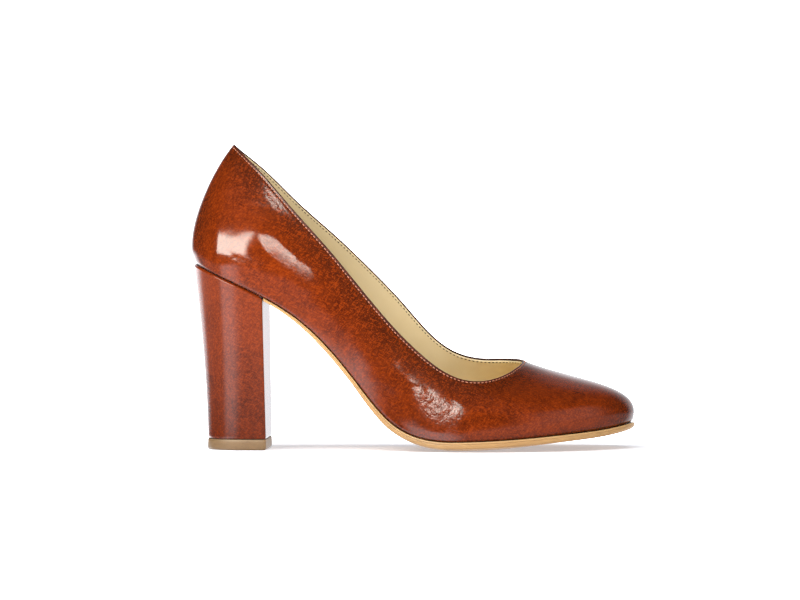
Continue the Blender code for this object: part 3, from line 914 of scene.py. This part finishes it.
# Edge of the sole from its upper lip (depth 0) to the tread (depth 1): depth, how far it lies in from the
# widest line, and how deep the scored line is cut
EDGE = (
    (0.00, 0.50, 0.00),
    (0.03, 0.22, 0.00),
    (0.08, 0.06, 0.00),
    (0.16, 0.00, 0.00),
    (0.23, 0.00, 0.02),
    (0.27, 0.00, 0.10),
    (0.30, 0.00, 0.22),
    (0.33, 0.00, 0.10),
    (0.37, 0.00, 0.02),
    (0.46, 0.01, 0.00),
    (0.58, 0.05, 0.00),
    (0.70, 0.14, 0.00),
    (0.80, 0.27, 0.00),
    (0.88, 0.43, 0.00),
    (0.95, 0.65, 0.00),
    (1.00, 0.95, 0.00),
)


def sole_thickness(row):
    return np.interp(row, range(ROWS + 1), column(FEATHER, FEATHER_COLUMNS, "sole"))


def sole_edge(row):
    return SOLE_EDGE_WAIST + (SOLE_EDGE - SOLE_EDGE_WAIST) * smooth_step(*WIDEN_ROWS, row)


# One section of the sole: share across, inset, depth of the scored line, depth as a share of its thickness
sole_shares = np.linspace(0, 1, SOLE_ACROSS + 1)
sole_section = [(t, SOLE_ROUND, 0.0, 0.0) for t in sole_shares]
sole_section += [(1.0, inset, score, d) for d, inset, score in EDGE]
sole_section += [(t, TREAD_INSET, 0.0, 1.0) for t in sole_shares[::-1]]
sole_section += [(0.0, inset, score, d) for d, inset, score in reversed(EDGE)]
sole_section.append(sole_section[0])
cut_share, cut_inset, cut_score, cut_depth = np.array(sole_section).T
breast_start = BREAST_ROW + 2 * GLUE_GAP / BREAST_SECTION
sole_rows = np.linspace(breast_start, ROWS, SOLE_STATIONS + 1)[:, None]
toe_round = 1 + TOE_ROUND * cut_depth**2 * smooth_step(*TOE_ROWS, sole_rows)
sole_reach = sole_edge(sole_rows) - cut_inset * toe_round - cut_score * smooth_step(*SCORE_ROWS, sole_rows)
sole_place = across(sole_rows, sole_reach, cut_share, -GLUE_GAP - cut_depth * sole_thickness(sole_rows))
sole_place[..., 2] = np.maximum(sole_place[..., 2], 0.0)
sole_depth = np.broadcast_to(cut_depth, sole_place.shape[:2])
sole = wrapped("sole", sole_place, depth=sole_depth)

TAN = (0.47, 0.260, 0.088)
TAN_PAINTED_HIGHLIGHT = (0.58, 0.36, 0.155)
TAN_DARK = (0.25, 0.120, 0.041)
TREAD_TAN = (0.58, 0.37, 0.17)
# Depths over which the painted highlight on the lip ends, the scored line starts and ends, the painted shade
# on the lower edge begins and the tread begins
LIP_END, SCORE_START, SCORE_END = (0.05, 0.2), (0.24, 0.295), (0.305, 0.36)
LOW_EDGE_SHADE_START, TREAD_START = (0.7, 0.98), (0.985, 1.0)


def sole_finish():
    """Natural sole leather: layered fibres along the edge, a painted highlight on the lip, painted shade in
    the scored line and on the lower edge, a matt tread.
    """
    material, shader, place = new_finish("natural_sole")
    depth = kept(place, "depth")
    fibres = clouds(stretched(place, 0.12, 0.3, 2.2), 0.7, 4.0, 0.6)
    patches = clouds(place, 9.0, 4.0)
    nap = clouds(place, 0.35, 3.0, 0.7)
    tone = ramp(0.6 * fibres + 0.4 * patches, 0.35, 0.7)
    colour = blended(tone * 0.36, TAN, TAN_DARK)
    # painted highlight along the lip at the top of the edge
    colour = blended((1 - ramp(depth, *LIP_END)) * 0.75, colour, TAN_PAINTED_HIGHLIGHT)
    # painted shade in the scored line
    scored = ramp(depth, *SCORE_START) * (1 - ramp(depth, *SCORE_END))
    colour = blended(scored * 0.5, colour, TAN_DARK)
    # painted shade on the lower rounding of the edge, which faces down
    colour = blended(ramp(depth, *LOW_EDGE_SHADE_START) * 0.55, colour, TAN_DARK)
    tread = ramp(depth, *TREAD_START)
    colour = blended(tread * 0.6, colour, TREAD_TAN)
    colour.to(shader, "Base Color")
    (0.42 + 0.2 * tread + 0.2 * (nap - 0.5)).to(shader, "Roughness")
    bump(0.014 * fibres + 0.012 * nap).to(shader, "Normal")
    return material


dress(sole, sole_finish(), "outsole", "outsole")


# Heel
# Tall block covered in the same brown leather, straight across at the breast and rounded at the back. The
# cover is drawn tight over the block, turned in at the top under the seat, and pulls in fine wrinkles.

SEAT_PROUD = 0.4
HEEL_BACK_X, HEEL_FRONT_X = 7.7, 36.9
HEEL_LATERAL, HEEL_MEDIAL = -17.0, 21.0
HEEL_CORNER, HEEL_ROUND_END = 2.5, 0.72        # how square the round back is, and the share that it takes up
HEEL_SWEEP = 1.6         # how fast the back draws in below the seat
HEEL_TALL = 75.0         # height of the block between its two rims
LIFT_THICK = 5.2
HEEL_RIM = 1.6           # rounding of the cover at the top
HEEL_FOOT_RIM = 0.25
CORNER_PASSES = 3        # how often the corners at the breast are softened
SIDE_POINTS, BACK_CROWDING = 90, 1.6   # points along a side, crowded towards the round back
SIDE_STEPS, BREAST_STEPS, HEEL_LEVELS = 84, 44, 84


def heel_foot(share, side):
    """Outline of the heel's foot: share runs from its back (0) to its breast (1)."""
    middle = (HEEL_LATERAL + HEEL_MEDIAL) / 2
    reach = (HEEL_LATERAL if side == "lateral" else HEEL_MEDIAL) - middle
    along = HEEL_BACK_X + share * (HEEL_FRONT_X - HEEL_BACK_X)
    round_end = np.clip(share / HEEL_ROUND_END, 0, 1)
    breadth = (1 - (1 - round_end) ** HEEL_CORNER) ** (1 / HEEL_CORNER)
    return np.stack([along, middle + reach * breadth], axis=-1)


def evenly(points, count):
    """The same line with its points spaced evenly along it."""
    run = np.concatenate([[0.0], np.cumsum(np.linalg.norm(np.diff(points, axis=0), axis=1))])
    at = np.linspace(0, run[-1], count + 1)
    return np.stack([np.interp(at, run, points[:, k]) for k in range(points.shape[1])], axis=1)


def round_block(lateral, medial):
    """Closed outline from the two sides of a block, back to breast, with softened corners at the breast."""
    lateral, medial = evenly(lateral, SIDE_STEPS), evenly(medial, SIDE_STEPS)
    breast = evenly(np.stack([medial[-1], lateral[-1]]), BREAST_STEPS)
    loop = np.concatenate([lateral[::-1], medial[1:], breast[1:-1]])
    for _ in range(CORNER_PASSES):
        loop = loop / 2 + (np.roll(loop, 1, axis=0) + np.roll(loop, -1, axis=0)) / 4
    return loop


def drawn_in(loop, inset):
    """A level outline moved inwards by a distance."""
    along = np.roll(loop, -1, axis=0) - np.roll(loop, 1, axis=0)
    normal = unit(np.stack([along[:, 1], -along[:, 0]], axis=1))
    middle = loop[:, :2].mean(axis=0)
    facing = np.sign(((loop[:, :2] - middle) * normal).sum(axis=1).mean())
    moved = loop.copy()
    moved[:, :2] -= facing * inset * normal
    return moved


side_shares = np.linspace(0, 1, SIDE_POINTS) ** BACK_CROWDING
fine_rows = side_shares * BREAST_ROW
foot_height = LIFT_THICK + GLUE_GAP
run_back, run_here, run_breast = feather(0.0)[0], feather(fine_rows)[:, 0], feather(BREAST_ROW)[0]
foot_share = (run_here - run_back) / (run_breast - run_back)


def heel_side(side, level):
    """One side of the heel from back to breast, at a level from its seat (0) to its foot (1)."""
    seat = on_bottom(edge_of_bottom(fine_rows, side, SEAT_PROUD), -GLUE_GAP)
    foot = heel_foot(foot_share, side)
    inward = 1 - (1 - level) ** HEEL_SWEEP
    blend = (inward + (level - inward) * side_shares**4)[:, None]
    plan = seat[:, :2] + blend * (foot - seat[:, :2])
    return np.column_stack([plan, seat[:, 2] + level * (foot_height - seat[:, 2])])


def heel_ring(level):
    return round_block(heel_side("lateral", level), heel_side("medial", level))


def towards_middle(loop, share):
    return loop + share * (loop.mean(axis=0) - loop)


# Seat from its middle outwards, the rounded rim, the side down to the foot, then the foot to its middle
CAP_SHARES = (1.0, 0.66, 0.33)
RIM_TURNS = (0, 18, 36, 54, 72)
heel_rings, heel_level = [], []
seat_ring = heel_ring(0.0)
for share in CAP_SHARES:
    ring = towards_middle(drawn_in(seat_ring, HEEL_RIM), share)
    heel_rings.append(on_bottom(ring, -GLUE_GAP))
    heel_level.append(0.0)
for turn in np.radians(RIM_TURNS):
    ring = drawn_in(seat_ring, HEEL_RIM * (1 - math.sin(turn)))
    ring = on_bottom(ring, -GLUE_GAP)
    ring[:, 2] -= HEEL_RIM * (1 - math.cos(turn))
    heel_rings.append(ring)
    heel_level.append(0.0)
for level in np.linspace(HEEL_RIM / HEEL_TALL, 1.0 - HEEL_FOOT_RIM / HEEL_TALL, HEEL_LEVELS + 1):
    heel_rings.append(heel_ring(level))
    heel_level.append(level)
foot_ring = heel_ring(1.0)
for share in (0.0, *CAP_SHARES[::-1]):
    heel_rings.append(towards_middle(drawn_in(foot_ring, HEEL_FOOT_RIM), share))
    heel_level.append(1.0)
heel_place = np.stack(heel_rings, axis=1)
heel_place = np.concatenate([heel_place, heel_place[:1]])
heel_down = np.broadcast_to(np.array(heel_level), heel_place.shape[:2])
heel_block = wrapped("heel_block", heel_place, down=heel_down)

HEEL_POLISH = 0.16
HEEL_BURNISH, HEEL_RUBBED = 0.20, 0.24         # darker towards the foot, lighter than the upper all over
PULL, PULL_SLOPE, PULL_LONG, PULL_HIGH = 0.7, -38.0, 6.0, 0.06
PULL_FROM, PULL_TO = -98.0 * MM, -86.0 * MM    # the pulls fade out over this stretch in front of the back


def heel_wrinkles(place):
    """Fine slanting pulls in the cover, round the back of the block."""
    lines = clouds(slanted(place, PULL_SLOPE, PULL_LONG), PULL, 2.0)
    return PULL_HIGH * lines * (1 - ramp(run_along(place, "X"), PULL_FROM, PULL_TO))


def heel_burnish(place):
    return HEEL_BURNISH * kept(place, "down") - HEEL_RUBBED


heel_finish = leather_finish("heel_leather", HEEL_POLISH, heel_burnish, heel_wrinkles)
dress(heel_block, heel_finish, "heel", "heel")


# Top lift
# Wearing piece of hard tan rubber under the heel, cut to the heel's foot and pinned to it, with its edges
# buffed round.

# Edge of the lift from its top to the floor: height, and how far it lies in from the heel's foot
LIFT_PROFILE = (
    (LIFT_THICK, 0.30),
    (5.14, 0.10),
    (5.00, 0.00),
    (3.80, -0.06),
    (2.60, -0.08),
    (1.40, -0.04),
    (0.70, 0.08),
    (0.30, 0.28),
    (0.08, 0.55),
    (0.00, 0.95),
)
lift_plan = round_block(heel_foot(side_shares, "lateral"), heel_foot(side_shares, "medial"))
lift_rings = []


def add_lift_ring(height, inset, share=0.0):
    """One more ring of the lift, drawn towards its middle by a share."""
    ring = towards_middle(drawn_in(lift_plan, inset), share)
    lift_rings.append(np.column_stack([ring, np.full(len(ring), height)]))


for share in CAP_SHARES:
    add_lift_ring(*LIFT_PROFILE[0], share)
for height, inset in LIFT_PROFILE:
    add_lift_ring(height, inset)
for share in CAP_SHARES[::-1]:
    add_lift_ring(*LIFT_PROFILE[-1], share)
lift_place = np.stack(lift_rings, axis=1)
lift = wrapped("lift", np.concatenate([lift_place, lift_place[:1]]))

LIFT_TAN = (0.270, 0.155, 0.064)
LIFT_DARK = (0.130, 0.072, 0.030)
FLOOR_SHADE_FROM, FLOOR_SHADE_TO = 0.2 * MM, 0.9 * MM


def lift_finish():
    """Hard rubber: speckled tan, buffed along its edge, darker where it meets the floor as painted shade."""
    material, shader, place = new_finish("lift_rubber")
    # painted shade where the lift meets the floor
    near_floor = 1 - ramp(run_along(place, "Z"), FLOOR_SHADE_FROM, FLOOR_SHADE_TO)
    specks = clouds(place, 0.4, 3.0, 0.7)
    patches = clouds(place, 6.0, 3.0)
    buffing = clouds(stretched(place, 1.0, 1.0, 0.1), 0.5, 3.0)
    colour = blended(ramp(0.5 * specks + 0.5 * patches, 0.35, 0.75) * 0.45, LIFT_TAN, LIFT_DARK)
    colour = blended(near_floor * 0.7, colour, LIFT_DARK)
    colour.to(shader, "Base Color")
    (0.5 + 0.15 * (specks - 0.5)).to(shader, "Roughness")
    bump(0.012 * specks + 0.010 * buffing).to(shader, "Normal")
    return material


dress(lift, lift_finish(), "top_lift", "top_lift")


# Studio
# Pale floor that glows into a white background, with a dimmer strip under the shoe that is painted shadow,
# in a dim room; the glow also lights the shoe from below. A softbox on the left shows as the highlights on
# counter and ball, and another hangs overhead. The lower half of the world stands for the table that the
# leather mirrors, since the floor itself is kept out of reflections.

FLOOR_HALF = 20.0
FLOOR_PALE, FLOOR_PALER = (0.80, 0.80, 0.81), (0.83, 0.83, 0.84)
FLOOR_CLOUD = 260.0
PAINTED_SHADOW_GLOW, GLOW_AWAY = (0.31, 0.33, 0.37), (3.6, 3.6, 3.6)
GLOW_FROM, GLOW_TO = 25.0 * MM, 120.0 * MM     # before and behind the shoe
floor_mesh = bmesh.new()
bmesh.ops.create_grid(floor_mesh, x_segments=4, y_segments=4, size=FLOOR_HALF)
floor = piece_from("floor", floor_mesh)
floor_finish, floor_shader, floor_place = new_finish("pale_floor")
blended(clouds(floor_place, FLOOR_CLOUD, 3.0), FLOOR_PALE, FLOOR_PALER).to(floor_shader, "Base Color")
# the glow is dimmer in a strip under the shoe: painted shadow
away = ramp(floor_place.math("ABSOLUTE", run_along(floor_place, "Y")), GLOW_FROM, GLOW_TO)
blended(away, PAINTED_SHADOW_GLOW, GLOW_AWAY).to(floor_shader, "Emission Color")
floor_shader.inputs["Roughness"].default_value = 0.9
floor_shader.inputs["Specular IOR Level"].default_value = 0.0
floor_shader.inputs["Emission Strength"].default_value = 1.0
floor.data.materials.append(floor_finish)
floor.visible_glossy = False

ROOM_DIM = 0.05
BACKGROUND_WHITE = 1.40
RIGHT_GREY = 0.75
TABLE_WHITE, TABLE_SHADED = 3.4, 0.55
WORLD_COLOUR = (0.93, 0.96, 1.0, 1.0)

# Where each of them begins and ends, in a direction's run to the right, to the back and upwards
BACKGROUND_BACK, BACKGROUND_TOP, BACKGROUND_LEFT = (0.45, 0.75), (0.15, 0.85), (-0.66, -0.44)
GREY_RIGHT, GREY_BACK, GREY_TOP = (0.1, 0.7), (-0.25, 0.15), (0.5, 0.8)
TABLE_LEFT, TABLE_RIGHT, TABLE_TOP = (-0.86, -0.70), (-0.50, -0.25), (-0.13, -0.05)

world = bpy.data.worlds.new("studio")
bpy.context.scene.world = world
world.use_nodes = True
sky = Wire(world.node_tree).node("ShaderNodeTexCoord", {}, {}, "Generated")
sky_right, sky_back, sky_up = (run_along(sky, axis) for axis in "XYZ")
behind = ramp(sky_back, *BACKGROUND_BACK) * (1 - ramp(sky_up, *BACKGROUND_TOP))
behind = behind * ramp(sky_right, *BACKGROUND_LEFT)
beside = ramp(sky_right, *GREY_RIGHT) * (1 - ramp(sky_back, *GREY_BACK)) * (1 - ramp(sky_up, *GREY_TOP))
lit = ramp(sky_right, *TABLE_LEFT) * (1 - ramp(sky_right, *TABLE_RIGHT))
table = TABLE_SHADED + (TABLE_WHITE - TABLE_SHADED) * lit
below = 1 - ramp(sky_up, *TABLE_TOP)
glow = ROOM_DIM + BACKGROUND_WHITE * behind + RIGHT_GREY * beside * (1 - below) + table * below
background = world.node_tree.nodes["Background"]
background.inputs["Color"].default_value = WORLD_COLOUR
glow.to(background, "Strength")

# Softboxes: middle in metres, the direction they stand in from the shoe in degrees, width and height, how
# bright their cloth is, and whether they light the shoe or only show as a mirror image. The left one is a
# pair at one place, because its image is brighter than its light.
SOFTBOXES = (
    ("left_mirrored", (-0.265, -0.285, 0.191), -34.75, 16.5, 0.317, 0.101, 22.5, "mirrored"),
    ("left_softbox", (-0.265, -0.285, 0.191), -34.75, 16.5, 0.317, 0.101, 2.8, "lights"),
    ("overhead_softbox", (-0.338, -0.725, 1.456), -25.0, 60.0, 2.400, 1.800, 3.7, "lights"),
)
WARM, NEUTRAL = (1.0, 0.98, 0.88), (1.0, 1.0, 1.0)
for name, middle, azimuth, elevation, wide, high, brightness, use in SOFTBOXES:
    turn = Matrix.Rotation(math.radians(azimuth), 3, "Z")
    turn = turn @ Matrix.Rotation(math.radians(90.0 - elevation), 3, "X")
    softbox = bpy.data.lights.new(name, "AREA")
    softbox.shape = "RECTANGLE"
    softbox.color = WARM if use == "mirrored" else NEUTRAL
    softbox.size, softbox.size_y = wide, high
    softbox.energy = brightness * math.pi * wide * high
    lamp = bpy.data.objects.new(name, softbox)
    lamp.matrix_world = Matrix.Translation(middle) @ turn.to_4x4()
    lamp.visible_camera = False
    lamp.visible_diffuse = use == "lights"
    lamp.visible_glossy = use == "mirrored"
    bpy.context.scene.collection.objects.link(lamp)


# Camera
# A long lens on the lateral side, standing a little towards the toe and a little above the floor, framed as
# the photograph is, across its width of 800 pixels.

PIXEL = 0.48             # millimetres of the shoe in one pixel of the photograph
CAMERA_AZIMUTH, CAMERA_ELEVATION = math.radians(4.4), math.radians(2.7)
CAMERA_DISTANCE = 12.0
CAMERA_NEAR, CAMERA_FAR = 0.1, 100.0
SENSOR = 36.0
PICTURE_WIDE = 800
# Middle of the picture from the heel's back at the floor, in pixels
MIDDLE_RIGHT, MIDDLE_UP = 208.0, 148.7
right = Vector((math.cos(CAMERA_AZIMUTH), math.sin(CAMERA_AZIMUTH), 0.0))
up = Vector((
    -math.sin(CAMERA_AZIMUTH) * math.sin(CAMERA_ELEVATION),
    math.cos(CAMERA_AZIMUTH) * math.sin(CAMERA_ELEVATION),
    math.cos(CAMERA_ELEVATION),
))
back = right.cross(up)
# Rolled so that the length of the shoe runs level in the picture
roll = -math.atan(math.tan(CAMERA_AZIMUTH) * math.sin(CAMERA_ELEVATION))
right, up = (math.cos(roll) * right + math.sin(roll) * up, math.cos(roll) * up - math.sin(roll) * right)
shift_right = MIDDLE_RIGHT * PIXEL - HEEL_BACK_TO_MIDDLE * math.cos(CAMERA_AZIMUTH)
picture_middle = right * (shift_right * MM) + up * (MIDDLE_UP * PIXEL * MM)
lens = bpy.data.cameras.new("long_lens")
lens.sensor_width = SENSOR
lens.lens = SENSOR * CAMERA_DISTANCE / (PICTURE_WIDE * PIXEL * MM)
lens.clip_start, lens.clip_end = CAMERA_NEAR, CAMERA_FAR
camera = bpy.data.objects.new("camera", lens)
stand = Matrix.Translation(picture_middle + back * CAMERA_DISTANCE)
camera.matrix_world = stand @ Matrix((right, up, back)).transposed().to_4x4()
bpy.context.scene.collection.objects.link(camera)
bpy.context.scene.camera = camera
bpy.context.scene.view_settings.view_transform = "Standard"
